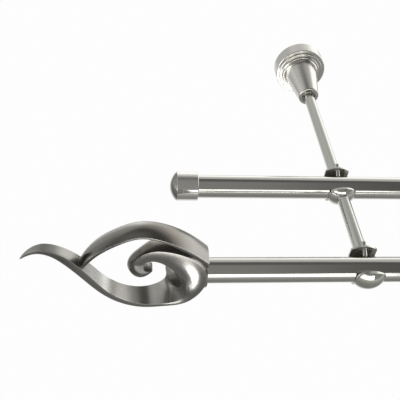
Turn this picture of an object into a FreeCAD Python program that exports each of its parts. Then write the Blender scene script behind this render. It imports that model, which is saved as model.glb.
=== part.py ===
import FreeCAD, Part
import math
import os
import Sketcher
from FreeCAD import Placement, Rotation, Vector

# Double curtain pole, in millimetres.
# The origin is the middle of the left bracket's face on the wall, on the axis of its arm.
# +X runs along the poles to the right, +Y goes into the wall and +Z is up.

SIZES = {
    # Poles
    "pole_diameter": 16.0,
    "pole_wall": 1.0,
    "pole_length": 1200.0,
    "bracket_inset": 113.0,
    "rear_projection": 155.2,
    "pole_spacing": 73.5,
    # Arm rods
    "rod_diameter": 8.4,
    "rod_wall": 1.4,
    "rod_fit": 0.1,
    "spigot_length": 9.0,
    # Pole holders
    "cradle_slack": 3.0,
    "cradle_wall": 1.3,
    "cradle_width": 17.0,
    "cradle_arch": 14.0,
    "back_rim_drop": 1.2,
    "front_rim_drop": 1.7,
    "boss_face_diameter": 18.8,
    "boss_skirt": 5.0,
    "boss_dome": 4.4,
    "screw_angle": 30.0,
    "screw_boss": 4.8,
    "screw_boss_reach": 1.2,
    # Pole set screws
    "pole_screw_diameter": 3.0,
    "pole_screw_length": 9.8,
    "thread_fit": 0.05,
    # Wall cup
    "cup_diameter": 42.2,
    "cup_side": 11.4,
    "cup_wall": 1.6,
    "cup_step_diameter": 37.2,
    "cup_step_rise": 1.1,
    "cup_ring_diameter": 32.6,
    "cup_ring_rise": 1.1,
    "cup_edge": 0.8,
    # Cone socket
    "cone_flange_diameter": 29.6,
    "cone_flange": 2.1,
    "cone_base_diameter": 26.8,
    "cone_end_diameter": 16.6,
    "cone_length": 32.5,
    "cone_socket_depth": 26.0,
    "cone_lip": 1.2,
    "cone_mouth": 1.1,
    "socket_fit": 0.1,
    # Wall plate and its stud
    "plate_diameter": 38.0,
    "plate_thickness": 3.0,
    "plate_gap": 0.3,
    "stud_diameter": 6.0,
    "stud_grip": 5.0,
    "wall_hole_spacing": 26.0,
    "wall_hole": 4.5,
    # Grub screws
    "grub_diameter": 4.0,
    "grub_key": 2.0,
    "grub_key_depth": 1.4,
    "grub_sink": 0.4,
    # End caps
    "cap_wall": 1.85,
    "cap_side": 14.4,
    "cap_dome": 4.5,
    "cap_edge": 0.6,
    "socket_depth": 12.0,
    "pole_fit": 0.15,
    # Finials
    "finial_length": 111.0,
    "finial_drop": 24.4,
    "finial_rise": 34.0,
    "finial_width": 13.0,
    "collar_wall": 2.0,
    "finial_bulge": 0.2,
    "finial_grub_place": 6.0,
    "finial_grub_length": 4.0,
}

doc = FreeCAD.newDocument("double_curtain_pole")
sheet = doc.addObject("Spreadsheet::Sheet", "sizes")
for row, (name, value) in enumerate(SIZES.items(), start=1):
    sheet.set("A%d" % row, name)
    sheet.set("B%d" % row, str(value))
    sheet.setAlias("B%d" % row, name)
doc.recompute()

nodes = []


def size(expression):
    """The value in millimetres of an expression over the sheet's names."""
    return float(sheet.evalExpression(with_sheet(expression)))


def with_sheet(expression):
    """Put the sheet's name in front of each size that an expression uses."""
    words = []
    word = ""
    for letter in expression + " ":
        if letter.isalnum() or letter == "_":
            word += letter
            continue
        words.append("sizes." + word if word in SIZES else word)
        words.append(letter)
        word = ""
    return "".join(words).strip()


def origin_plane(body, role):
    """One of a body's own origin planes, found by its role."""
    return next(item for item in body.Origin.OriginFeatures if item.Role == role)


def new_body(label):
    body = doc.addObject("PartDesign::Body", label)
    body.Label = label
    return body


def new_sketch(body, name, role):
    sketch = body.newObject("Sketcher::SketchObject", name)
    sketch.AttachmentSupport = [(origin_plane(body, role), "")]
    sketch.MapMode = "FlatFace"
    return sketch


def lift_sketch(sketch, height):
    """Move a sketch along its plane's normal by an expression."""
    sketch.AttachmentOffset = Placement(Vector(0, 0, size(height)), Rotation())
    sketch.setExpression("AttachmentOffset.Base.z", with_sheet(height))


def turn_sketch(sketch, angle):
    """Turn a sketch in its plane by an expression in degrees."""
    sketch.AttachmentOffset = Placement(Vector(), Rotation(Vector(0, 0, 1), size(angle)))
    sketch.setExpression("AttachmentOffset.Rotation.Angle", "(%s) * 1deg" % with_sheet(angle))


def pin(sketch, edge, end, point):
    """Hold one end of an edge at a place given by two expressions."""
    for kind, expression in zip(("DistanceX", "DistanceY"), point):
        index = sketch.addConstraint(Sketcher.Constraint(kind, edge, end, size(expression)))
        sketch.setExpression("Constraints[%d]" % index, with_sheet(expression))


def outline(sketch, corners):
    """Draw a closed outline. A corner is (x, y), or (x, y, radius) where an arc arrives.

    A positive radius turns the arc to the left as it is drawn and a negative one to the right.
    """
    places = [Vector(size(corner[0]), size(corner[1]), 0) for corner in corners]
    first = sketch.GeometryCount
    for index, corner in enumerate(corners):
        start, end = places[index - 1], places[index]
        if len(corner) == 2:
            sketch.addGeometry(Part.LineSegment(start, end), False)
            continue
        radius = size(corner[2])
        chord = end - start
        side = Vector(-chord.y, chord.x, 0).normalize()
        reach = math.sqrt(max(radius ** 2 - (chord.Length / 2) ** 2, 0.0))
        centre = start + chord / 2 + side * (reach if radius > 0 else -reach)
        angles = [math.atan2(point.y - centre.y, point.x - centre.x) for point in (start, end)]
        if radius < 0:
            angles.reverse()
        circle = Part.Circle(centre, Vector(0, 0, 1), abs(radius))
        sketch.addGeometry(Part.ArcOfCircle(circle, *angles), False)
    count = len(corners)
    ends = []
    for index, corner in enumerate(corners):
        backward = len(corner) == 3 and size(corner[2]) < 0
        ends.append((2, 1) if backward else (1, 2))
    for index, corner in enumerate(corners):
        following = (index + 1) % count
        pin(sketch, first + index, ends[index][1], corner[:2])
        sketch.addConstraint(Sketcher.Constraint(
            "Coincident", first + index, ends[index][1], first + following, ends[following][0]))
    for index, corner in enumerate(corners):
        if len(corner) == 3:
            radius = abs(size(corner[2]))
            number = sketch.addConstraint(Sketcher.Constraint("Radius", first + index, radius))
            sketch.setExpression("Constraints[%d]" % number, "abs(%s)" % with_sheet(corner[2]))


def ring(sketch, *diameters, centre=("0", "0")):
    """Draw circles about one centre."""
    for diameter in diameters:
        middle = Vector(size(centre[0]), size(centre[1]), 0)
        edge = sketch.addGeometry(Part.Circle(middle, Vector(0, 0, 1), size(diameter) / 2), False)
        pin(sketch, edge, 3, centre)
        number = sketch.addConstraint(Sketcher.Constraint("Diameter", edge, size(diameter)))
        sketch.setExpression("Constraints[%d]" % number, with_sheet(diameter))


def pad(body, sketch, length, both_ways=False):
    feature = body.newObject("PartDesign::Pad", sketch.Name + "_pad")
    feature.Profile = sketch
    feature.setExpression("Length", with_sheet(length))
    feature.Midplane = both_ways
    sketch.Visibility = False
    return feature


def pocket_through(body, sketch, way="both"):
    """Cut right through a body: both ways, or against ("back") or along ("front") the sketch's normal."""
    feature = body.newObject("PartDesign::Pocket", sketch.Name + "_pocket")
    feature.Profile = sketch
    feature.Type = "ThroughAll"
    feature.Midplane = way == "both"
    feature.Reversed = way == "front"


def revolve(body, sketch, axis="V_Axis", cut=False):
    kind = "Groove" if cut else "Revolution"
    feature = body.newObject("PartDesign::" + kind, sketch.Name + "_" + kind.lower())
    feature.Profile = sketch
    feature.ReferenceAxis = (sketch, [axis])
    feature.Angle = 360
    return feature


def place(item, at=("0", "0", "0"), turn=None):
    """Bind a piece's place to the sheet and keep it as a node."""
    if turn is not None:
        item.Placement = Placement(Vector(0, 0, 0), turn)
    for letter, expression in zip("xyz", at):
        item.setExpression("Placement.Base." + letter, with_sheet(expression))
    nodes.append(item)


# Sizes and places that several pieces share, as expressions over the sheet
ARMS = {"left": "0", "right": "(pole_length - 2 * bracket_inset)"}
REAR_CRADLE = "-rear_projection"
FRONT_CRADLE = "-(rear_projection + pole_spacing)"
POLE_BACK = "cradle_slack / 2 * cos(screw_angle * 1deg)"
POLE_DOWN = "cradle_slack / 2 * sin(screw_angle * 1deg)"
CRADLE_INNER = "((pole_diameter + cradle_slack) / 2)"
CRADLE_OUTER = "((pole_diameter + cradle_slack) / 2 + cradle_wall)"
DOME_FACE = "((pole_diameter + cradle_slack) / 2 + cradle_wall / 4)"
DOME_RADIUS = "(((boss_face_diameter / 2) ^ 2 + boss_dome ^ 2) / (2 * boss_dome))"
POLE_BORE = "(pole_diameter / 2 + pole_fit)"
CAP_OUTER = "(pole_diameter / 2 + pole_fit + cap_wall)"
COLLAR_OUTER = "(pole_diameter / 2 + pole_fit + collar_wall)"
ROD_BORE = "(rod_diameter - 2 * rod_wall)"
CUP_FRONT = "(cup_side + cup_step_rise + cup_ring_rise)"
CONE_FRONT = "(%s + cone_flange + cone_length)" % CUP_FRONT
SPIGOT = "(rod_diameter - 2 * rod_wall - 2 * rod_fit)"


def build_pole(label, cradle_y):
    """A round tube that lies in two cradles, pushed down to the front by their set screws."""
    body = new_body(label)
    sketch = new_sketch(body, label + "_section", "YZ_Plane")
    ring(sketch, "pole_diameter", "pole_diameter - 2 * pole_wall")
    pad(body, sketch, "pole_length")
    place(body, ("-bracket_inset", "%s - %s" % (cradle_y, POLE_BACK), "-(%s)" % POLE_DOWN))


def build_wall_plate(side):
    """A steel disc with two screw holes in line and a welded stud."""
    body = new_body(side + "_wall_plate")
    disc = new_sketch(body, side + "_plate_disc", "XZ_Plane")
    ring(disc, "plate_diameter")
    ring(disc, "wall_hole", centre=("0", "wall_hole_spacing / 2"))
    ring(disc, "wall_hole", centre=("0", "-wall_hole_spacing / 2"))
    pad(body, disc, "plate_thickness")
    stud = new_sketch(body, side + "_plate_stud", "XZ_Plane")
    ring(stud, "stud_diameter")
    pad(body, stud, "%s + stud_grip" % CUP_FRONT)
    place(body, (ARMS[side], "0", "0"))


def build_cup(side):
    """A turned cup over the wall plate, with two polished steps round the cone."""
    body = new_body(side + "_wall_cup")
    profile = new_sketch(body, side + "_cup_profile", "XY_Plane")
    outer = "cup_diameter / 2"
    step = "cup_step_diameter / 2"
    band = "cup_ring_diameter / 2"
    hole = "stud_diameter / 2 + socket_fit"
    inside = "plate_diameter / 2 + plate_gap"
    roof = "-(cup_side - cup_wall)"
    outline(profile, [
        (outer, "0"),
        (outer, "-(cup_side - cup_edge)"),
        (outer + " - cup_edge", "-cup_side", "-cup_edge"),
        (step, "-cup_side"),
        (step, "-(cup_side + cup_step_rise - cup_edge)"),
        (step + " - cup_edge", "-(cup_side + cup_step_rise)", "-cup_edge"),
        (band, "-(cup_side + cup_step_rise)"),
        (band + " - cup_edge", "-%s" % CUP_FRONT, "-(cup_ring_rise * 1.6)"),
        (hole, "-%s" % CUP_FRONT),
        (hole, roof),
        (inside, roof),
        (inside, "0"),
    ])
    revolve(body, profile)
    hole_sketch = new_sketch(body, side + "_cup_grub_hole", "XY_Plane")
    ring(hole_sketch, "grub_diameter", centre=("0", "-plate_thickness / 2"))
    pocket_through(body, hole_sketch, "back")
    place(body, (ARMS[side], "0", "0"))


def build_grub(label, length, at, turn):
    """A grub screw with a hexagon key recess, its outer end at the origin and pointing along +Z."""
    body = new_body(label)
    profile = new_sketch(body, label + "_profile", "XZ_Plane")
    outer = "grub_diameter / 2 - thread_fit"
    outline(profile, [
        ("0", "0"),
        (outer, "0"),
        (outer, "%s - 0.6" % length),
        (outer + " - 0.6", length),
        ("0", length),
    ])
    revolve(body, profile)
    key = new_sketch(body, label + "_key", "XY_Plane")
    corner = "grub_key / sqrt(3)"
    half = "grub_key / 2"
    outline(key, [
        (corner, "0"), (corner + " / 2", half), ("-%s / 2" % corner, half),
        ("-%s" % corner, "0"), ("-%s / 2" % corner, "-" + half), (corner + " / 2", "-" + half)])
    recess = body.newObject("PartDesign::Pocket", label + "_recess")
    recess.Profile = key
    recess.setExpression("Length", with_sheet("grub_key_depth"))
    recess.Reversed = True
    place(body, at, turn)


def build_cone(side):
    """A turned cone that screws on the plate's stud and takes the rear rod in a deep socket."""
    body = new_body(side + "_cone_socket")
    profile = new_sketch(body, side + "_cone_profile", "XY_Plane")
    base = "-%s" % CUP_FRONT
    flange = "-(%s + cone_flange)" % CUP_FRONT
    end = "-%s" % CONE_FRONT
    bore = "rod_diameter / 2 + socket_fit"
    tip = "cone_end_diameter / 2"
    outline(profile, [
        ("stud_diameter / 2 + thread_fit", base),
        ("cone_flange_diameter / 2", base),
        ("cone_base_diameter / 2", flange, "-(cone_flange * 1.4)"),
        (tip, end + " + cone_lip"),
        (tip + " - cone_lip", end, "-cone_lip"),
        (bore + " + cone_mouth", end),
        (bore, end + " + cone_mouth", "cone_mouth"),
        (bore, end + " + cone_socket_depth"),
        ("stud_diameter / 2 + thread_fit", end + " + cone_socket_depth"),
    ])
    revolve(body, profile)
    hole_sketch = new_sketch(body, side + "_cone_grub_hole", "XY_Plane")
    ring(hole_sketch, "grub_diameter", centre=("0", "-(%s - cone_socket_depth / 2)" % CONE_FRONT))
    pocket_through(body, hole_sketch, "back")
    place(body, (ARMS[side], "0", "0"))


def build_rod(label, side, wall_end, room_end):
    """A tube of the arm, bored for the spigots of the holders."""
    body = new_body(label)
    sketch = new_sketch(body, label + "_section", "XZ_Plane")
    ring(sketch, "rod_diameter", ROD_BORE)
    pad(body, sketch, "%s - %s" % (wall_end, room_end))
    place(body, (ARMS[side], wall_end, "0"))


def build_holder(label, side, cradle_y, carries_rod):
    """A cast cradle, open at the top, with a domed boss in front and a spigot for the rod behind."""
    body = new_body(label)
    inner = CRADLE_INNER
    outer = CRADLE_OUTER
    wall = new_sketch(body, label + "_wall", "YZ_Plane")
    outline(wall, [
        ("-" + outer, inner),
        ("-" + outer, "0"),
        ("0", "-" + outer, outer),
        (outer, "0", outer),
        (outer, inner),
    ])
    pad(body, wall, "cradle_width", both_ways=True)
    dome = new_sketch(body, label + "_dome", "XY_Plane")
    outline(dome, [
        ("0", "-(%s - boss_skirt)" % DOME_FACE),
        ("boss_face_diameter / 2", "-(%s - boss_skirt)" % DOME_FACE),
        ("boss_face_diameter / 2", "-" + DOME_FACE),
        ("0", "-(%s + boss_dome)" % DOME_FACE, "-" + DOME_RADIUS),
    ])
    revolve(body, dome)
    screw_turn = "screw_angle - 90"
    boss = new_sketch(body, label + "_screw_boss", "YZ_Plane")
    reach = "(%s / cos(screw_angle * 1deg) + screw_boss_reach)" % outer
    root = "(%s / cos(screw_angle * 1deg) - screw_boss / 3)" % inner
    half = "screw_boss / 2"
    outline(boss, [
        ("0", root),
        (half, root),
        (half, reach + " - 0.8"),
        (half + " - 0.8", reach),
        ("0", reach),
    ])
    turn_sketch(boss, screw_turn)
    revolve(body, boss)
    cavity = new_sketch(body, label + "_cavity", "YZ_Plane")
    outline(cavity, [
        ("-" + inner, inner + " + 1"),
        ("-" + inner, "0"),
        ("0", "-" + inner, inner),
        (inner, "0", inner),
        (inner, inner + " + 1"),
    ])
    pocket_through(body, cavity)
    room = new_sketch(body, label + "_rod_room", "XZ_Plane")
    lift_sketch(room, "-" + outer)
    ring(room, "rod_diameter + 2 * socket_fit")
    pocket_through(body, room, "back")
    cut_rim(body, label + "_back_rim", "(%s - back_rim_drop)" % inner, "back")
    cut_rim(body, label + "_front_rim", "(%s - front_rim_drop)" % inner, "front")
    back = new_sketch(body, label + "_spigot", "XZ_Plane")
    lift_sketch(back, "-(%s + cradle_wall / 2)" % inner)
    ring(back, SPIGOT)
    feature = pad(body, back, "spigot_length + cradle_wall / 2")
    feature.Reversed = True
    if carries_rod:
        depth = "(%s)" % rod_seat()
        seat = new_sketch(body, label + "_rod_seat", "XZ_Plane")
        lift_sketch(seat, depth)
        ring(seat, "rod_diameter + 2 * socket_fit")
        flat = body.newObject("PartDesign::Pocket", label + "_rod_flat")
        flat.Profile = seat
        flat.setExpression("Length", with_sheet("boss_dome"))
        flat.Reversed = True
        front = new_sketch(body, label + "_front_spigot", "XZ_Plane")
        lift_sketch(front, depth + " - 0.5")
        ring(front, SPIGOT)
        pad(body, front, "spigot_length + 0.5")
    hole = new_sketch(body, label + "_screw_hole", "YZ_Plane")
    outline(hole, [
        ("0", "1"),
        ("pole_screw_diameter / 2 + thread_fit", "1"),
        ("pole_screw_diameter / 2 + thread_fit", reach + " + 1"),
        ("0", reach + " + 1"),
    ])
    turn_sketch(hole, screw_turn)
    revolve(body, hole, cut=True)
    place(body, (ARMS[side], cradle_y, "0"))


def cut_rim(body, name, top, way):
    """Cut everything above a low arch that runs across the cradle, behind or in front of its axis."""
    arch = new_sketch(body, name, "XZ_Plane")
    side = "cradle_width / 2"
    corner = "%s - cradle_arch + sqrt(cradle_arch ^ 2 - (cradle_width / 2) ^ 2)" % top
    clear = CRADLE_INNER + " + 12"
    outline(arch, [
        ("-" + side, corner),
        (side, corner, "-cradle_arch"),
        (side + " + 4", corner),
        (side + " + 4", clear),
        ("-%s - 4" % side, clear),
        ("-%s - 4" % side, corner),
    ])
    pocket_through(body, arch, way)


def rod_seat():
    """How far in front of the cradle's centre the front rod meets the dome."""
    return ("%s + boss_dome - %s + sqrt(%s ^ 2 - (rod_diameter / 2 + socket_fit) ^ 2) - 0.3"
            % (DOME_FACE, DOME_RADIUS, DOME_RADIUS))


def build_pole_screw(label, side, cradle_y):
    """A slotted grub screw that presses the pole down to the front of its cradle."""
    body = new_body(label)
    profile = new_sketch(body, label + "_profile", "XZ_Plane")
    outer = "pole_screw_diameter / 2"
    outline(profile, [
        ("0", "0"),
        (outer + " - 0.5", "0"),
        (outer, "0.5"),
        (outer, "pole_screw_length - 0.3"),
        (outer + " - 0.3", "pole_screw_length"),
        ("0", "pole_screw_length"),
    ])
    revolve(body, profile)
    slot = new_sketch(body, label + "_slot", "YZ_Plane")
    outline(slot, [
        ("-0.3", "pole_screw_length - 0.8"),
        ("0.3", "pole_screw_length - 0.8"),
        ("0.3", "pole_screw_length + 1"),
        ("-0.3", "pole_screw_length + 1"),
    ])
    pocket_through(body, slot)
    start = "(pole_diameter / 2 - cradle_slack / 2)"
    place(body, (
        ARMS[side],
        "%s + %s * cos(screw_angle * 1deg)" % (cradle_y, start),
        "%s * sin(screw_angle * 1deg)" % start,
    ), Rotation(Vector(1, 0, 0), size("screw_angle - 90")))


def build_cap(side):
    """A turned cap with a shallow dome that pushes on the rear pole."""
    body = new_body(side + "_end_cap")
    profile = new_sketch(body, side + "_cap_profile", "XY_Plane")
    outer = CAP_OUTER
    bore = POLE_BORE
    radius = "(%s ^ 2 + cap_dome ^ 2) / (2 * cap_dome)" % outer
    outline(profile, [
        ("0", "-(cap_side + cap_dome)", "-" + radius),
        ("0", "-socket_depth"),
        (bore, "-socket_depth"),
        (bore, "0"),
        (outer + " - cap_edge", "0"),
        (outer, "-cap_edge", "-cap_edge"),
        (outer, "-cap_side"),
    ])
    revolve(body, profile)
    place(body, end_place(side, REAR_CRADLE), end_turn(side, -90))


def end_place(side, cradle_y):
    """The mouth of a piece that is pushed on the end of a pole."""
    left = "-(bracket_inset - socket_depth)"
    right = "(pole_length - bracket_inset - socket_depth)"
    return (left if side == "left" else right,
            "%s - %s" % (cradle_y, POLE_BACK), "-(%s)" % POLE_DOWN)


def end_turn(side, angle):
    """Turn a piece so that its own axis points out of the pole's end."""
    return Rotation(Vector(0, 0, 1), angle if side == "left" else angle + 180)


# The finial's ribbons, as sections along each ribbon from its free end.
# A section has the middle of its inner face (along the pole, and up), as parts of the finial's
# length and of its rise above or drop below the pole's axis; then, as parts of the finial's width,
# its inner width, how far the inner face leans outward at the front, the heights of its front and
# back sides, its outer width and its crown.
SWEEP = [
    (0.982, 0.340, 0.05, 0.00, 0.03, 0.03, 0.04, 0.05),
    (0.926, 0.555, 0.28, 0.00, 0.19, 0.19, 0.23, 0.28),
    (0.862, 0.632, 0.43, 0.00, 0.28, 0.28, 0.35, 0.42),
    (0.786, 0.566, 0.50, 0.00, 0.37, 0.37, 0.41, 0.51),
    (0.712, 0.382, 0.60, 0.00, 0.44, 0.44, 0.49, 0.60),
    (0.641, 0.092, 0.72, 0.00, 0.42, 0.42, 0.62, 0.59),
    (0.590, -0.215, 0.78, 0.00, 0.39, 0.39, 0.69, 0.55),
    (0.530, -0.565, 0.84, 0.00, 0.35, 0.35, 0.77, 0.52),
    (0.449, -0.850, 0.92, 0.00, 0.32, 0.32, 0.88, 0.51),
    (0.342, -1.000, 1.00, 0.08, 0.31, 0.31, 0.97, 0.49),
    (0.234, -0.895, 1.08, 0.38, 0.37, 0.37, 1.12, 0.54),
    (0.171, -0.676, 1.20, 0.77, 0.60, 0.60, 1.44, 0.76),
    (0.162, -0.348, 1.30, 0.92, 1.12, 1.12, 1.66, 1.28),
    (0.177, 0.000, 1.28, 0.77, 1.52, 1.36, 1.66, 1.62),
    (0.213, 0.224, 1.14, 0.46, 1.50, 1.24, 1.44, 1.58),
    (0.256, 0.415, 1.05, 0.15, 1.04, 0.70, 1.18, 1.06),
    (0.301, 0.482, 1.02, 0.00, 0.66, 0.32, 1.04, 0.66),
    (0.335, 0.432, 1.00, 0.00, 0.50, 0.12, 1.00, 0.48),
    (0.346, 0.285, 0.97, 0.00, 0.58, 0.30, 0.96, 0.70),
    (0.326, 0.160, 0.84, 0.00, 0.52, 0.40, 0.82, 0.68),
    (0.294, 0.112, 0.40, 0.00, 0.14, 0.14, 0.34, 0.22),
]
BROW = [
    (0.671, 0.095, 0.44, 0.02, 0.15, 0.15, 0.42, 0.22),
    (0.619, 0.420, 0.83, 0.06, 0.17, 0.17, 0.81, 0.30),
    (0.552, 0.668, 0.95, 0.12, 0.18, 0.18, 0.93, 0.32),
    (0.455, 0.893, 0.98, 0.16, 0.17, 0.17, 0.97, 0.32),
    (0.351, 1.020, 1.00, 0.16, 0.16, 0.16, 0.98, 0.31),
    (0.225, 0.910, 1.09, 0.14, 0.17, 0.17, 1.08, 0.33),
    (0.108, 0.645, 1.10, 0.08, 0.22, 0.22, 1.12, 0.36),
    (0.000, 0.290, 1.00, 0.00, 0.26, 0.26, 1.10, 0.42),
]
BOWL_SECTIONS = slice(9, 16)


class Ribbon:
    """The rails of a ribbon: curves through the corners of its sections."""

    def __init__(self, rows, outward):
        length, width = size("finial_length"), size("finial_width")
        rise, drop = size("finial_rise"), size("finial_drop")
        bulge = size("finial_bulge")
        self.middles = [
            Vector(row[0] * length, 0, row[1] * (rise if row[1] > 0 else drop)) for row in rows]
        self.steps = self.even_steps()
        spine = self.through(self.middles)
        self.sections = []
        self.normals = []
        for row, middle, step in zip(rows, self.middles, self.steps):
            tangent = spine.tangent(step)[0]
            normal = Vector(-tangent.z, 0, tangent.x) * outward
            inner, lean, front_side, back_side, outer, crown = [value * width for value in row[2:]]
            front = Vector(0, 1, 0)
            half = front * (inner / 2) + normal * (lean / 2)
            inner_front, inner_back = middle + half, middle - half
            outer_front = middle + front * (outer / 2) + normal * front_side
            outer_back = middle - front * (outer / 2) + normal * back_side
            peak = (middle + normal * crown) * 2 - (outer_front + outer_back) / 2
            front_bulge = front * (inner_front.distanceToPoint(outer_front) * bulge)
            back_bulge = front * (inner_back.distanceToPoint(outer_back) * bulge)
            self.normals.append(normal)
            self.sections.append((
                inner_back, inner_front, (inner_front + outer_front) / 2 + front_bulge, outer_front,
                peak, outer_back, (inner_back + outer_back) / 2 - back_bulge))

    def even_steps(self):
        """Parameters that follow the square root of the distance between sections."""
        steps = [0.0]
        for start, end in zip(self.middles, self.middles[1:]):
            steps.append(steps[-1] + math.sqrt(start.distanceToPoint(end)))
        return [step / steps[-1] for step in steps]

    def through(self, points):
        curve = Part.BSplineCurve()
        curve.interpolate(Points=points, Parameters=self.steps)
        return curve

    def face(self, rails):
        """The face that two or three rails span, curved across where there are three."""
        last = len(rails) - 1
        surface = Part.BSplineSurface()
        surface.buildFromPolesMultsKnots(
            [rail.getPoles() for rail in rails], [last + 1, last + 1], rails[0].getMultiplicities(),
            [0, 1], rails[0].getKnots(), False, False, last, rails[0].Degree)
        return surface.toShape()

    def solid(self):
        inner_back, inner_front, front, outer_front, peak, outer_back, back = [
            self.through(list(points)) for points in zip(*self.sections)]
        faces = [
            self.face([inner_back, inner_front]),
            self.face([inner_front, front, outer_front]),
            self.face([outer_front, peak, outer_back]),
            self.face([outer_back, back, inner_back]),
            end_face(self.sections[0]),
            end_face(self.sections[-1]),
        ]
        return closed(faces)


def end_face(section):
    inner_back, inner_front, front, outer_front, peak, outer_back, back = section
    edges = [Part.LineSegment(inner_back, inner_front).toShape()]
    front_side = [inner_front, front, outer_front]
    outer_side = [outer_front, peak, outer_back]
    back_side = [outer_back, back, inner_back]
    for poles in (front_side, outer_side, back_side):
        curve = Part.BezierCurve()
        curve.setPoles(poles)
        edges.append(curve.toShape())
    return Part.Face(Part.Wire(edges))


def closed(faces):
    shell = Part.Shell(faces)
    shell.sewShape()
    solid = Part.Solid(shell)
    if solid.Volume < 0:
        solid.reverse()
    return solid


def finial_root():
    """The round mouth and the body that it grows into, up to the brow and down into the sweep."""
    radius = size(COLLAR_OUTER)
    swell = [
        (0.00, 0.00, 1.00, 1.00),
        (0.10, 0.01, 1.04, 1.05),
        (0.50, 0.12, 1.12, 1.32),
        (0.90, 0.12, 1.02, 1.52),
        (1.25, 0.16, 0.84, 1.60),
        (1.55, 0.18, 0.50, 1.60),
    ]
    wires = [oval(*[value * radius for value in row]) for row in swell]
    return Part.makeLoft(wires, True, False, False)


def oval(x, z, half_depth, half_height):
    """An upright oval across the pole's axis."""
    if half_height == half_depth:
        circle = Part.Circle(Vector(x, 0, z), Vector(1, 0, 0), half_depth)
        return Part.Wire(circle.toShape())
    top = Vector(x, 0, z + half_height)
    ellipse = Part.Ellipse(top, Vector(x, half_depth, z), Vector(x, 0, z))
    return Part.Wire(ellipse.toShape())


def bowl(ribbon):
    """The space inside the turn of the sweep, carried past its edges to clear the root."""
    reach = size("finial_width") * 0.75
    depth = size("finial_width") * 0.7
    sink = size("finial_width") * 0.012
    wires = []
    for section, normal in list(zip(ribbon.sections, ribbon.normals))[BOWL_SECTIONS]:
        back, front = section[0] + normal * sink, section[1] + normal * sink
        way = (front - back).normalize() * reach
        back, front = back - way, front + way
        wires.append(Part.makePolygon([back, front, front - normal * depth, back - normal * depth, back]))
    return Part.makeLoft(wires, True, False, False)


def build_finial(side):
    """One casting: a sweep from the tail to the curl, a brow over it and a round socket.

    Its own axis is +X out of the pole, with +Y to the front. The right one is a mirror image.
    """
    sweep = Ribbon(SWEEP, 1)
    brow = Ribbon(BROW, -1)
    root = finial_root().cut(bowl(sweep))
    reach = size("finial_length") * 1.2
    room = Part.makeBox(reach, reach, reach, Vector(0, -reach / 2, -reach / 2))
    body = sweep.solid().fuse([brow.solid(), root]).common(room)
    bore = Part.makeCylinder(size(POLE_BORE), size("socket_depth"), Vector(), Vector(1, 0, 0))
    grub = Part.makeCylinder(
        size("grub_diameter") / 2, size(COLLAR_OUTER) * 2,
        Vector(size("finial_grub_place"), 0, 0), Vector(0, 0, -1))
    body = body.cut([bore, grub]).removeSplitter().Solids[0]
    if side == "right":
        body = body.mirror(Vector(), Vector(0, 1, 0))
    item = doc.addObject("Part::Feature", side + "_finial")
    item.Shape = body
    place(item, end_place(side, FRONT_CRADLE), end_turn(side, 180))


build_pole("front_pole", FRONT_CRADLE)
build_pole("rear_pole", REAR_CRADLE)
UPWARD = Rotation()
for side in ARMS:
    build_wall_plate(side)
    build_cup(side)
    build_grub(
        side + "_cup_grub_screw", "(cup_diameter / 2 - plate_diameter / 2 - grub_sink)",
        (ARMS[side], "-plate_thickness / 2", "-(cup_diameter / 2 - grub_sink)"), UPWARD)
    build_cone(side)
    build_grub(
        side + "_cone_grub_screw", "(cone_end_diameter / 2 - rod_diameter / 2 + 1)",
        (ARMS[side], "-(%s - cone_socket_depth / 2)" % CONE_FRONT, "-(cone_end_diameter / 2 + 1)"), UPWARD)
    build_rod(
        side + "_rear_rod", side, "-(%s - cone_socket_depth)" % CONE_FRONT,
        "(%s + %s)" % (REAR_CRADLE, CRADLE_OUTER))
    build_holder(side + "_rear_holder", side, REAR_CRADLE, True)
    build_pole_screw(side + "_rear_set_screw", side, REAR_CRADLE)
    build_rod(
        side + "_front_rod", side, "(%s - (%s))" % (REAR_CRADLE, rod_seat()),
        "(%s + %s)" % (FRONT_CRADLE, CRADLE_OUTER))
    build_holder(side + "_front_holder", side, FRONT_CRADLE, False)
    build_pole_screw(side + "_front_set_screw", side, FRONT_CRADLE)
    build_cap(side)
    build_finial(side)
    mouth = end_place(side, FRONT_CRADLE)
    outward = "-finial_grub_place" if side == "left" else "+finial_grub_place"
    build_grub(
        side + "_finial_grub_screw", "finial_grub_length",
        (mouth[0] + outward, mouth[1], mouth[2] + " - (pole_diameter / 2 + finial_grub_length)"), UPWARD)

doc.recompute()

for item in doc.Objects:
    if "Invalid" in item.State or "Error" in item.State:
        raise ValueError("%s did not build: %s" % (item.Label, item.State))
for item in nodes:
    if item.Shape.isNull() or not item.Shape.isValid():
        raise ValueError("%s has no sound shape" % item.Label)

os.makedirs("parts", exist_ok=True)
for item in nodes:
    item.Shape.exportStep("parts/%s.step" % item.Label)
    print("%s: %d solid, %.0f mm3" % (item.Label, len(item.Shape.Solids), item.Shape.Volume))
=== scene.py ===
import math

import bpy
from mathutils import Matrix, Vector

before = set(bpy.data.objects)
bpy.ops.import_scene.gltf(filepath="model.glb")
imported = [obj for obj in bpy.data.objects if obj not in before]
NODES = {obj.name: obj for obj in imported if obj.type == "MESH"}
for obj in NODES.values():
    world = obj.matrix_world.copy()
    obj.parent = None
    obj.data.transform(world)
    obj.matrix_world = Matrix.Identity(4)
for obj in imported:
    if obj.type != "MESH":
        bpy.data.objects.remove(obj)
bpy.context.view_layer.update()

# Finishes of the real fittings: colour, roughness; and colours for painted shade and painted highlights
NICKEL = (0.60, 0.585, 0.55)
SATIN_ROD = (0.55, 0.55, 0.515)
PEWTER = (0.31, 0.303, 0.285)
CAST_CHROME = (0.56, 0.56, 0.52)
POLISHED = (0.74, 0.73, 0.70)
ZINC = (0.62, 0.63, 0.64)
BLACK_OXIDE = (0.03, 0.03, 0.032)
WARM_TARNISH = (0.30, 0.275, 0.255)
# Painted shade: dark colour for recesses and shaded places on the finial
DEEP_PAINTED_SHADE = (0.10, 0.095, 0.09)
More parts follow.
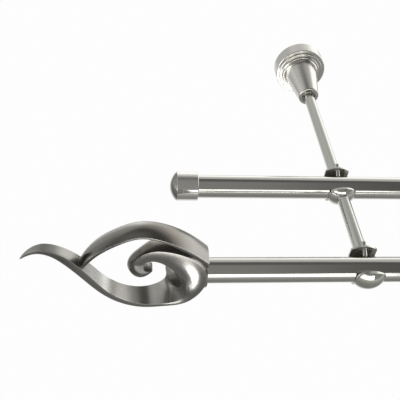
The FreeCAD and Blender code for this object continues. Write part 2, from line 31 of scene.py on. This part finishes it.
# Rubbed edges, and also painted highlights on the finial
WORN_AND_HIGHLIGHT_PEWTER = (0.66, 0.66, 0.64)
# Painted shade under the finial's brow and in the holders' recesses
BROWN_PAINTED_SHADE = (0.16, 0.145, 0.125)

# Places that the finishes are centred on; on the finial, the centres of painted highlights and painted shade
HALF_SPAN = 0.487
REAR_POLE = 0.1565
BOWL_X = -0.1280
BOWL_Z = 0.0026
TROUGH_X = -0.1290
TROUGH_Z = -0.0240
HOLLOW_X = -0.1250
HOLLOW_Z = -0.0090
CURL_X = -0.1355
CURL_Z = 0.0120


def deselect():
    for item in bpy.context.selected_objects:
        item.select_set(False)
    bpy.context.view_layer.objects.active = None


# Camera at the photograph's place

def put_camera():
    camera = bpy.data.cameras.new("photo_camera")
    camera.sensor_width = 36.0
    camera.lens = 55.57
    camera.clip_start = 0.01
    camera.clip_end = 50.0
    item = bpy.data.objects.new("photo_camera", camera)
    bpy.context.scene.collection.objects.link(item)
    right = Vector((0.99351886, -0.07481925, 0.08557083))
    up = Vector((-0.00752187, 0.70789169, 0.70628095))
    back = right.cross(up)
    turn = Matrix((right, up, back)).transposed().to_4x4()
    item.matrix_world = Matrix.Translation((-0.14752, -0.46291, 0.29260)) @ turn
    bpy.context.scene.camera = item


# Shared effects as node groups

class Group:
    """A shader node group with a short way to add and join nodes."""

    def __init__(self, name, inputs, outputs):
        self.tree = bpy.data.node_groups.new(name, "ShaderNodeTree")
        for label, kind, value in inputs:
            socket = self.tree.interface.new_socket(label, in_out="INPUT", socket_type=kind)
            socket.default_value = value
        for label, kind in outputs:
            self.tree.interface.new_socket(label, in_out="OUTPUT", socket_type=kind)
        self.source = self.tree.nodes.new("NodeGroupInput")
        self.target = self.tree.nodes.new("NodeGroupOutput")

    def add(self, kind, values=(), **settings):
        return add_node(self.tree, kind, values, **settings)

    def take(self, label):
        return self.source.outputs[label]

    def give(self, socket, label):
        self.tree.links.new(socket, self.target.inputs[label])


def add_node(tree, kind, values=(), **settings):
    node = tree.nodes.new(kind)
    for name, value in settings.items():
        setattr(node, name, value)
    for name, value in dict(values).items():
        socket = node.inputs[name]
        if isinstance(value, bpy.types.NodeSocket):
            tree.links.new(value, socket)
        else:
            socket.default_value = value
    return node


def bracket_place_group():
    """Object coordinates seen from the nearer bracket, so that both ends share one material."""
    group = Group("bracket_place", [("Vector", "NodeSocketVector", (0, 0, 0))], [("Vector", "NodeSocketVector")])
    split = group.add("ShaderNodeSeparateXYZ", {"Vector": group.take("Vector")})
    from_middle = group.add("ShaderNodeMath", {0: split.outputs["X"], 1: HALF_SPAN}, operation="SUBTRACT")
    size = group.add("ShaderNodeMath", {0: from_middle.outputs[0]}, operation="ABSOLUTE")
    near = group.add("ShaderNodeMath", {0: HALF_SPAN, 1: size.outputs[0]}, operation="SUBTRACT")
    place = group.add("ShaderNodeCombineXYZ", {
        "X": near.outputs[0], "Y": split.outputs["Y"], "Z": split.outputs["Z"]})
    group.give(place.outputs[0], "Vector")
    return group.tree


def grain_group():
    """Fine grain, stretched by the vector that it is given, as height and as a mask from 0 to 1."""
    group = Group(
        "metal_grain",
        [("Vector", "NodeSocketVector", (0, 0, 0)), ("Scale", "NodeSocketFloat", 400.0)],
        [("Height", "NodeSocketFloat"), ("Mask", "NodeSocketFloat")])
    fine = group.add("ShaderNodeTexNoise", {
        "Vector": group.take("Vector"), "Scale": group.take("Scale"), "Detail": 4.0, "Roughness": 0.62})
    group.give(fine.outputs["Fac"], "Height")
    spread = group.add("ShaderNodeMapRange", {"Value": fine.outputs["Fac"], "From Min": 0.3, "From Max": 0.7})
    group.give(spread.outputs["Result"], "Mask")
    return group.tree


def lathe_group():
    """Coordinates in which grain becomes the rings left by a lathe that turns about the vector's X axis."""
    group = Group("lathe_rings", [("Vector", "NodeSocketVector", (0, 0, 0))], [("Vector", "NodeSocketVector")])
    split = group.add("ShaderNodeSeparateXYZ", {"Vector": group.take("Vector")})
    flat = group.add("ShaderNodeCombineXYZ", {"Y": split.outputs["Y"], "Z": split.outputs["Z"]})
    radius = group.add("ShaderNodeVectorMath", {0: flat.outputs[0]}, operation="LENGTH")
    rings = group.add("ShaderNodeCombineXYZ", {"X": split.outputs["X"], "Y": radius.outputs["Value"]})
    group.give(rings.outputs[0], "Vector")
    return group.tree


def cloud_group():
    """Slow changes over a surface, such as handling marks, as a mask from 0 to 1."""
    group = Group(
        "slow_cloud",
        [("Vector", "NodeSocketVector", (0, 0, 0)), ("Scale", "NodeSocketFloat", 30.0)],
        [("Mask", "NodeSocketFloat")])
    cloud = group.add("ShaderNodeTexNoise", {
        "Vector": group.take("Vector"), "Scale": group.take("Scale"), "Detail": 2.0, "Roughness": 0.5})
    spread = group.add("ShaderNodeMapRange", {"Value": cloud.outputs["Fac"], "From Min": 0.35, "From Max": 0.65})
    group.give(spread.outputs["Result"], "Mask")
    return group.tree


def edge_wear_group():
    """A mask that is 1 along edges, where plating is rubbed bright."""
    group = Group(
        "edge_wear", [("Radius", "NodeSocketFloat", 0.0004)], [("Mask", "NodeSocketFloat")])
    rounded = group.add("ShaderNodeBevel", {"Radius": group.take("Radius")}, samples=4)
    place = group.add("ShaderNodeNewGeometry")
    match = group.add("ShaderNodeVectorMath", {0: rounded.outputs["Normal"], 1: place.outputs["Normal"]},
                      operation="DOT_PRODUCT")
    spread = group.add("ShaderNodeMapRange", {"Value": match.outputs["Value"], "From Min": 0.985, "From Max": 0.85})
    group.give(spread.outputs["Result"], "Mask")
    return group.tree


def recess_shade_group():
    """A mask that is 1 in deep recesses, where shade is painted into the colour."""
    group = Group(
        "recess_painted_shade", [("Distance", "NodeSocketFloat", 0.012)], [("Mask", "NodeSocketFloat")])
    open_sky = group.add("ShaderNodeAmbientOcclusion", {"Distance": group.take("Distance")}, samples=8)
    spread = group.add("ShaderNodeMapRange", {"Value": open_sky.outputs["AO"], "From Min": 0.80, "From Max": 0.25})
    group.give(spread.outputs["Result"], "Mask")
    return group.tree


BRACKET_PLACE = bracket_place_group()
GRAIN = grain_group()
LATHE = lathe_group()
CLOUD = cloud_group()
EDGE_WEAR = edge_wear_group()
RECESS_SHADE = recess_shade_group()


class Metal:
    """A metal finish, built up from grain, slow changes, worn edges, painted shade in recesses and painted
    highlights.
    """

    def __init__(self, name, colour):
        self.material = bpy.data.materials.new(name)
        self.material.use_nodes = True
        self.tree = self.material.node_tree
        self.shader = self.tree.nodes["Principled BSDF"]
        self.shader.inputs["Metallic"].default_value = 1.0
        place = add_node(self.tree, "ShaderNodeTexCoord")
        near = add_node(self.tree, "ShaderNodeGroup", node_tree=BRACKET_PLACE)
        self.tree.links.new(place.outputs["Object"], near.inputs["Vector"])
        self.place = near.outputs["Vector"]
        self.colour = (*colour, 1)
        self.gloss = 0.3

    def group(self, kind, values):
        node = add_node(self.tree, "ShaderNodeGroup", node_tree=kind)
        for name, value in values.items():
            if isinstance(value, bpy.types.NodeSocket):
                self.tree.links.new(value, node.inputs[name])
            else:
                node.inputs[name].default_value = value
        return node

    def moved(self, location=(0, 0, 0), turn=(0, 0, 0), stretch=(1, 1, 1)):
        node = add_node(self.tree, "ShaderNodeMapping", {
            "Vector": self.place, "Location": location, "Rotation": turn, "Scale": stretch})
        return node.outputs["Vector"]

    def tinted(self, colour, mask, most=1.0):
        node = add_node(self.tree, "ShaderNodeMix", data_type="RGBA")
        self.tree.links.new(self.part(mask, most), node.inputs["Factor"])
        if isinstance(self.colour, bpy.types.NodeSocket):
            self.tree.links.new(self.colour, node.inputs["A"])
        else:
            node.inputs["A"].default_value = self.colour
        node.inputs["B"].default_value = (*colour, 1)
        self.colour = node.outputs["Result"]

    def part(self, mask, most):
        node = add_node(self.tree, "ShaderNodeMath", {0: mask, 1: most}, operation="MULTIPLY")
        return node.outputs[0]

    def rough(self, low, high, mask):
        node = add_node(self.tree, "ShaderNodeMapRange", {"Value": mask, "To Min": low, "To Max": high})
        self.gloss = node.outputs["Result"]

    def polished(self, value, mask):
        node = add_node(self.tree, "ShaderNodeMix", {"Factor": mask, "A": self.gloss, "B": value},
                        data_type="FLOAT")
        self.gloss = node.outputs["Result"]

    def dulled(self, mask, most):
        """Less of a mirror where the mask is, as plating that has gone matt."""
        node = add_node(self.tree, "ShaderNodeMapRange", {"Value": mask, "To Min": 1.0, "To Max": 1.0 - most})
        self.tree.links.new(node.outputs["Result"], self.shader.inputs["Metallic"])

    def band(self, axis, start, end):
        """A mask that rises from 0 at start to 1 at end along one axis from the bracket."""
        split = add_node(self.tree, "ShaderNodeSeparateXYZ", {"Vector": self.place})
        node = add_node(self.tree, "ShaderNodeMapRange", {
            "Value": split.outputs[axis], "From Min": start, "From Max": end}, interpolation_type="SMOOTHSTEP")
        return node.outputs["Result"]

    def ramp(self, value, start, end):
        node = add_node(self.tree, "ShaderNodeMapRange", {
            "Value": value, "From Min": start, "From Max": end}, interpolation_type="SMOOTHSTEP")
        return node.outputs["Result"]

    def distance_from(self, centre):
        """Distance from a point of the finial's upright plane."""
        split = add_node(self.tree, "ShaderNodeSeparateXYZ", {"Vector": self.place})
        upright = add_node(self.tree, "ShaderNodeCombineXYZ", {"X": split.outputs["X"], "Z": split.outputs["Z"]})
        node = add_node(self.tree, "ShaderNodeVectorMath", {0: upright.outputs[0]}, operation="DISTANCE")
        node.inputs[1].default_value = (centre[0], 0, centre[1])
        return node.outputs["Value"], split.outputs["Z"]

    def arc(self, centre, inner, outer, foot, head):
        """A mask along an arc of the front face, soft at its inner and outer side, foot and head."""
        reach, height = self.distance_from(centre)
        way = add_node(self.tree, "ShaderNodeNewGeometry")
        facing = add_node(self.tree, "ShaderNodeSeparateXYZ", {"Vector": way.outputs["Normal"]})
        mask = self.part(self.ramp(reach, *inner), self.ramp(reach, *outer))
        mask = self.part(mask, self.band("X", centre[0], centre[0] + 0.008))
        mask = self.part(mask, self.part(self.ramp(height, *foot), self.ramp(height, *head)))
        return self.part(mask, self.ramp(facing.outputs["Y"], -0.5, -0.8))

    def spot(self, centre, edge, core):
        """A soft round mask on the faces that look up."""
        reach = self.distance_from(centre)[0]
        way = add_node(self.tree, "ShaderNodeNewGeometry")
        facing = add_node(self.tree, "ShaderNodeSeparateXYZ", {"Vector": way.outputs["Normal"]})
        return self.part(self.ramp(reach, edge, core), self.ramp(facing.outputs["Z"], 0.3, 0.7))

    def bumped(self, height, strength, distance=0.0002):
        node = add_node(self.tree, "ShaderNodeBump", {
            "Height": height, "Strength": strength, "Distance": distance})
        self.normal = node.outputs["Normal"]

    def rolled(self, lean, mask):
        """Lean the surface over where the mask is, as a hand-filed roundness."""
        step = add_node(self.tree, "ShaderNodeVectorMath", operation="SCALE")
        step.inputs[0].default_value = lean
        self.tree.links.new(mask, step.inputs["Scale"])
        both = add_node(self.tree, "ShaderNodeVectorMath", {0: self.normal, 1: step.outputs[0]}, operation="ADD")
        unit = add_node(self.tree, "ShaderNodeVectorMath", {0: both.outputs[0]}, operation="NORMALIZE")
        self.normal = unit.outputs[0]

    def done(self):
        self.tree.links.new(self.colour, self.shader.inputs["Base Color"])
        self.tree.links.new(self.gloss, self.shader.inputs["Roughness"])
        self.tree.links.new(self.normal, self.shader.inputs["Normal"])
        return self.material


def shade(factor, colour):
    return tuple(channel * factor for channel in colour)


def drawn_tube(name, colour, stretch, smooth, dull):
    """Tube with the faint lines of drawing and brushing along its length."""
    metal = Metal(name, colour)
    lines = metal.group(GRAIN, {"Vector": metal.moved(stretch=stretch), "Scale": 900.0})
    marks = metal.group(CLOUD, {"Vector": metal.moved(stretch=stretch), "Scale": 90.0})
    wear = metal.group(EDGE_WEAR, {"Radius": 0.0004})
    metal.tinted(shade(0.88, colour), lines.outputs["Mask"], 0.6)
    metal.tinted(shade(0.93, colour), marks.outputs["Mask"], 0.6)
    metal.tinted(POLISHED, wear.outputs["Mask"], 0.5)
    metal.rough(smooth, dull, lines.outputs["Mask"])
    metal.bumped(lines.outputs["Height"], 0.08)
    return metal.done()


def satin_casting():
    """Dark satin nickel over a casting: soft sheen, brighter edges, painted shade in recesses and shaded places, and
    painted highlights on rounded faces.
    """
    metal = Metal("satin_casting", PEWTER)
    grain = metal.group(GRAIN, {"Vector": metal.place, "Scale": 1600.0})
    cloud = metal.group(CLOUD, {"Vector": metal.place, "Scale": 45.0})
    wear = metal.group(EDGE_WEAR, {"Radius": 0.0009})
    recess_shade = metal.group(RECESS_SHADE, {"Distance": 0.012})
    metal.tinted(shade(0.90, PEWTER), grain.outputs["Mask"], 0.7)
    metal.tinted(WARM_TARNISH, cloud.outputs["Mask"], 0.35)
    # Painted shade: darker colour where ambient occlusion finds a recess
    metal.tinted(DEEP_PAINTED_SHADE, recess_shade.outputs["Mask"], 0.40)
    metal.dulled(recess_shade.outputs["Mask"], 0.35)
    # Painted highlight: a lighter crescent right of the bowl, its normals leaned up
    lip_highlight = metal.arc((BOWL_X, BOWL_Z), (0.0125, 0.0180), (0.0240, 0.0195), (-0.014, -0.004), (0.023, 0.008))
    # Painted shade under the brow
    under_brow_shade = metal.spot((-0.131, 0.023), 0.022, 0.010)
    # Painted shade at the foot of the brow
    brow_foot_shade = metal.part(metal.band("X", -0.178, -0.174), metal.band("X", -0.144, -0.158))
    brow_foot_shade = metal.part(brow_foot_shade, metal.part(metal.band("Y", -0.2285, -0.2330), metal.band("Z", 0.004, 0.010)))
    # Painted highlight in the trough
    trough_highlight = metal.spot((TROUGH_X, TROUGH_Z), 0.010, 0.002)
    metal.tinted(BROWN_PAINTED_SHADE, under_brow_shade, 0.8)
    metal.tinted(DEEP_PAINTED_SHADE, brow_foot_shade, 0.75)
    # Painted shade in the hollow of the bowl
    reach, height = metal.distance_from((HOLLOW_X, HOLLOW_Z))
    hollow_shade = metal.part(metal.ramp(reach, 0.0085, 0.0105), metal.ramp(reach, 0.0150, 0.0137))
    hollow_shade = metal.part(hollow_shade, metal.part(metal.band("X", -0.1235, -0.1195), metal.ramp(height, 0.006, 0.001)))
    # Painted highlight: a lighter crescent low on the curl
    curl, curl_height = metal.distance_from((CURL_X, CURL_Z))
    low_left = metal.part(metal.ramp(curl_height, 0.0135, 0.0115), metal.band("X", -0.1335, -0.1355))
    crescent_highlight = metal.part(metal.part(metal.ramp(curl, 0.0096, 0.0082), low_left), metal.band("Y", -0.2335, -0.2350))
    # Painted shade on the outer side of the curl
    curl_side_shade = metal.part(metal.ramp(curl, 0.0085, 0.0100), metal.band("X", -0.1395, -0.1415))
    curl_side_shade = metal.part(curl_side_shade, metal.part(metal.band("Z", 0.002, 0.006), metal.ramp(reach, 0.045, 0.035)))
    # Lay on the painted highlights and painted shade, and the rubbed edges
    metal.tinted(WORN_AND_HIGHLIGHT_PEWTER, lip_highlight, 0.6)
    metal.tinted(WORN_AND_HIGHLIGHT_PEWTER, trough_highlight, 0.25)
    metal.tinted(WORN_AND_HIGHLIGHT_PEWTER, wear.outputs["Mask"], 0.8)
    metal.tinted(DEEP_PAINTED_SHADE, hollow_shade, 0.8)
    metal.tinted(DEEP_PAINTED_SHADE, curl_side_shade, 0.7)
    metal.tinted(WORN_AND_HIGHLIGHT_PEWTER, crescent_highlight, 0.8)
    # Painted highlight on the sweep
    sweep_highlight = metal.spot((-0.166, -0.006), 0.014, 0.005)
    metal.tinted(WORN_AND_HIGHLIGHT_PEWTER, sweep_highlight, 0.75)
    # Painted highlight along the brow
    brow_highlight = metal.part(metal.band("X", -0.176, -0.168), metal.band("X", -0.132, -0.148))
    brow_highlight = metal.part(brow_highlight, metal.part(metal.band("Y", -0.2295, -0.2265), metal.band("Z", 0.010, 0.016)))
    metal.tinted(WORN_AND_HIGHLIGHT_PEWTER, brow_highlight, 0.5)
    # Painted shade on the front of the tail
    tail_front_shade = metal.part(metal.band("X", -0.172, -0.186), metal.band("Y", -0.2318, -0.2332))
    metal.tinted(DEEP_PAINTED_SHADE, tail_front_shade, 0.5)
    metal.rough(0.22, 0.30, cloud.outputs["Mask"])
    metal.polished(0.16, wear.outputs["Mask"])
    metal.polished(0.19, lip_highlight)
    metal.polished(0.55, hollow_shade)
    metal.bumped(grain.outputs["Height"], 0.06)
    metal.rolled((-0.10, 0, 0.46), lip_highlight)
    metal.rolled((0, 0.32, 0), trough_highlight)
    metal.rolled((0, 0, 0.22), crescent_highlight)
    return metal.done()


def polished_casting():
    """Cast cradle, plated and polished, with the soft unevenness that polishing leaves and painted shade in its
    recesses.
    """
    metal = Metal("polished_casting", CAST_CHROME)
    grain = metal.group(GRAIN, {"Vector": metal.place, "Scale": 1500.0})
    waves = metal.group(CLOUD, {"Vector": metal.place, "Scale": 160.0})
    wear = metal.group(EDGE_WEAR, {"Radius": 0.0003})
    recess_shade = metal.group(RECESS_SHADE, {"Distance": 0.010})
    metal.tinted(shade(0.9, CAST_CHROME), grain.outputs["Mask"], 0.5)
    # Painted shade in the recesses
    metal.tinted(BROWN_PAINTED_SHADE, recess_shade.outputs["Mask"], 0.8)
    metal.dulled(recess_shade.outputs["Mask"], 0.8)
    metal.tinted(POLISHED, wear.outputs["Mask"], 0.5)
    metal.rough(0.09, 0.15, grain.outputs["Mask"])
    metal.bumped(waves.outputs["Mask"], 0.10)
    return metal.done()


def turned_fitting(name, colour, turn, place, smooth, dull, gleams, dark_end=None, cup_highlight=False):
    """Fitting turned on a lathe: fine rings, and some parts polished bright; the cup also gets a painted highlight
    on the lower left of its face.
    """
    metal = Metal(name, colour)
    about = metal.moved(location=place, turn=turn)
    rings = metal.group(LATHE, {"Vector": about})
    lines = metal.group(GRAIN, {"Vector": rings.outputs["Vector"], "Scale": 700.0})
    cloud = metal.group(CLOUD, {"Vector": metal.place, "Scale": 60.0})
    metal.tinted(shade(0.84, colour), lines.outputs["Mask"], 0.6)
    metal.tinted(shade(0.92, colour), cloud.outputs["Mask"], 0.5)
    metal.rough(smooth, dull, lines.outputs["Mask"])
    for start, end in gleams:
        metal.polished(0.20, metal.band("Y", start, end))
    if dark_end:
        metal.polished(0.10, metal.band("Z", 0.0062, 0.0052))
        metal.tinted(shade(0.6, PEWTER), metal.band("X", *dark_end), 0.9)
    metal.bumped(lines.outputs["Height"], 0.03)
    if cup_highlight:
        # Painted highlight: the lower left of the cup's face made lighter, its normals leaned up
        way = add_node(metal.tree, "ShaderNodeNewGeometry")
        facing = add_node(metal.tree, "ShaderNodeSeparateXYZ", {"Vector": way.outputs["Normal"]})
        low = metal.part(metal.band("Z", 0.011, -0.004), metal.band("X", 0.010, -0.012))
        low = metal.part(low, metal.ramp(facing.outputs["Y"], -0.80, -0.95))
        metal.tinted(POLISHED, low, 0.9)
        metal.polished(0.22, low)
        metal.rolled((0, 0, 0.30), low)
    return metal.done()


def plain_steel(name, colour, smooth, dull, scale):
    """Plated steel of hidden plates and small screws."""
    metal = Metal(name, colour)
    grain = metal.group(GRAIN, {"Vector": metal.place, "Scale": scale})
    wear = metal.group(EDGE_WEAR, {"Radius": 0.0002})
    metal.tinted(shade(0.75, colour), grain.outputs["Mask"], 0.7)
    metal.tinted(POLISHED, wear.outputs["Mask"], 0.3)
    metal.rough(smooth, dull, grain.outputs["Mask"])
    metal.bumped(grain.outputs["Height"], 0.10)
    return metal.done()


def paint(material, *names):
    for name in names:
        item = NODES[name]
        item.data.materials.clear()
        item.data.materials.append(material)


def both_sides(*names):
    return [side + name for side in ("left_", "right_") for name in names]


def finishes():
    paint(drawn_tube("brushed_pole", NICKEL, (0.02, 1, 1), 0.07, 0.12), "front_pole", "rear_pole")
    paint(drawn_tube("satin_rod", SATIN_ROD, (1, 0.008, 1), 0.15, 0.20), *both_sides("rear_rod", "front_rod"))
    paint(satin_casting(), *both_sides("finial"))
    paint(polished_casting(), *both_sides("rear_holder", "front_holder"))
    quarter = (0, 0, math.radians(90))
    cup = turned_fitting(
        "turned_cup", NICKEL, quarter, (0, 0, 0), 0.24, 0.34, [(-0.0104, -0.0110)], cup_highlight=True)
    cone = turned_fitting("turned_cone", NICKEL, quarter, (0, 0, 0), 0.16, 0.24, [(-0.0440, -0.0452)])
    cap = turned_fitting(
        "turned_cap", POLISHED, (0, 0, 0), (0, REAR_POLE, 0.00075), 0.26, 0.34, [], (-0.1152, -0.1158))
    paint(cup, *both_sides("wall_cup"))
    paint(cone, *both_sides("cone_socket"))
    paint(cap, *both_sides("end_cap"))
    paint(plain_steel("zinc_plate", ZINC, 0.32, 0.45, 500.0), *both_sides("wall_plate"))
    paint(plain_steel("black_screw", BLACK_OXIDE, 0.35, 0.5, 900.0),
          *both_sides("cup_grub_screw", "cone_grub_screw", "finial_grub_screw"))
    paint(plain_steel("bright_screw", SATIN_ROD, 0.15, 0.25, 900.0),
          *both_sides("rear_set_screw", "front_set_screw"))


# Soft white studio: pale walls, a dim ceiling over the room and a bright strip window in front

class Room:
    """Builds the brightness of the studio for each direction, one area over another."""

    def __init__(self, tree):
        self.tree = tree
        place = add_node(tree, "ShaderNodeTexCoord")
        self.way = place.outputs["Generated"]
        split = add_node(tree, "ShaderNodeSeparateXYZ", {"Vector": self.way})
        self.across = split.outputs["X"]
        self.inward = split.outputs["Y"]
        self.height = split.outputs["Z"]
        self.light = None

    def ramp(self, value, start, end):
        node = add_node(self.tree, "ShaderNodeMapRange", {
            "Value": value, "From Min": start, "From Max": end}, interpolation_type="SMOOTHSTEP")
        return node.outputs["Result"]

    def towards(self, direction):
        node = add_node(self.tree, "ShaderNodeVectorMath", {0: self.way}, operation="DOT_PRODUCT")
        node.inputs[1].default_value = Vector(direction).normalized()
        return node.outputs["Value"]

    def times(self, first, second):
        node = add_node(self.tree, "ShaderNodeMath", {0: first, 1: second}, operation="MULTIPLY")
        return node.outputs["Value"]

    def fade(self, first, second, mask):
        node = add_node(self.tree, "ShaderNodeMix", {"Factor": mask, "A": first, "B": second}, data_type="FLOAT")
        return node.outputs["Result"]

    def over(self, value, mask):
        self.light = self.fade(self.light, value, mask)


def studio():
    world = bpy.data.worlds.new("white_studio")
    bpy.context.scene.world = world
    world.use_nodes = True
    tree = world.node_tree
    tree.nodes.clear()
    room = Room(tree)
    room.light = room.fade(1.75, 0.62, room.ramp(room.height, 0.05, 0.72))
    room.over(1.8, room.times(room.ramp(room.across, 0.42, 0.66), room.ramp(room.height, 0.75, 0.35)))
    room.over(0.66, room.ramp(room.towards((-0.62, 0.77, 0.12)), 0.84, 0.95))
    room.over(0.30, room.ramp(room.towards((-0.90, -0.32, 0.28)), 0.90, 0.96))
    room.over(0.95, room.ramp(room.towards((-0.93, 0.33, 0.15)), 0.90, 0.97))
    front = room.ramp(room.inward, -0.10, -0.35)
    room.over(0.34, front)
    window = room.times(room.ramp(room.height, 0.27, 0.20), room.ramp(room.across, 0.44, 0.37))
    room.over(3.4, room.times(front, window))
    ceiling = room.ramp(room.towards((-0.12, -0.33, 0.92)), 0.52, 0.58)
    dim = room.fade(0.31, 0.15, room.ramp(room.inward, -0.05, 0.25))
    dim = room.fade(dim, 0.13, room.ramp(room.across, 0.15, 0.45))
    room.over(dim, ceiling)
    lit = add_node(tree, "ShaderNodeBackground", {"Strength": room.light})
    lit.inputs["Color"].default_value = (1, 1, 0.98, 1)
    end = add_node(tree, "ShaderNodeOutputWorld")
    tree.links.new(lit.outputs[0], end.inputs["Surface"])


# Plain pale floor, far below the poles, with a pool of white where the camera looks

def pale_floor():
    deselect()
    bpy.ops.mesh.primitive_circle_add(vertices=96, radius=3.2, fill_type="NGON", location=(0, 0, -0.6))
    floor = bpy.context.active_object
    floor.name = "pale_floor"
    bpy.ops.object.transform_apply(location=True, rotation=True, scale=True)
    material = bpy.data.materials.new("pale_floor_paint")
    material.use_nodes = True
    tree = material.node_tree
    tree.nodes.clear()
    place = add_node(tree, "ShaderNodeTexCoord")
    centre = add_node(tree, "ShaderNodeMapping", {
        "Vector": place.outputs["Object"], "Location": (-0.05, -0.62, 0.6)})
    reach = add_node(tree, "ShaderNodeVectorMath", {0: centre.outputs["Vector"]}, operation="LENGTH")
    pool = add_node(tree, "ShaderNodeMapRange", {
        "Value": reach.outputs["Value"], "From Min": 0.95, "From Max": 0.75}, interpolation_type="SMOOTHSTEP")
    below = add_node(tree, "ShaderNodeMapping", {
        "Vector": place.outputs["Object"], "Location": (0, 0.23, 0.6)})
    away = add_node(tree, "ShaderNodeVectorMath", {0: below.outputs["Vector"]}, operation="LENGTH")
    far = add_node(tree, "ShaderNodeMapRange", {
        "Value": away.outputs["Value"], "From Min": 0.5, "From Max": 2.0, "To Min": 0.0, "To Max": 0.55})
    bright = add_node(tree, "ShaderNodeMath", {0: pool.outputs["Result"], 1: far.outputs["Result"]},
                      operation="MAXIMUM")
    ray = add_node(tree, "ShaderNodeLightPath")
    mirrored = add_node(tree, "ShaderNodeMath", {
        0: ray.outputs["Is Glossy Ray"], 1: ray.outputs["Is Transmission Ray"]}, operation="MAXIMUM")
    in_metal = add_node(tree, "ShaderNodeMath", {0: mirrored.outputs[0], 1: bright.outputs[0]},
                        operation="MULTIPLY")
    seen = add_node(tree, "ShaderNodeMath", {0: ray.outputs["Is Camera Ray"], 1: in_metal.outputs[0]},
                    operation="MAXIMUM")
    share = add_node(tree, "ShaderNodeMath", {0: seen.outputs[0], 1: 0.98}, operation="MULTIPLY")
    paint_coat = add_node(tree, "ShaderNodeBsdfDiffuse")
    paint_coat.inputs["Color"].default_value = (0.60, 0.60, 0.59, 1)
    white = add_node(tree, "ShaderNodeEmission")
    white.inputs["Color"].default_value = (1, 1, 1, 1)
    white.inputs["Strength"].default_value = 1.0
    mix = add_node(tree, "ShaderNodeMixShader", {"Fac": share.outputs[0]})
    tree.links.new(paint_coat.outputs[0], mix.inputs[1])
    tree.links.new(white.outputs[0], mix.inputs[2])
    end = add_node(tree, "ShaderNodeOutputMaterial")
    tree.links.new(mix.outputs[0], end.inputs["Surface"])
    floor.data.materials.append(material)


put_camera()
studio()
pale_floor()
finishes()

bpy.context.scene.view_settings.view_transform = "Standard"
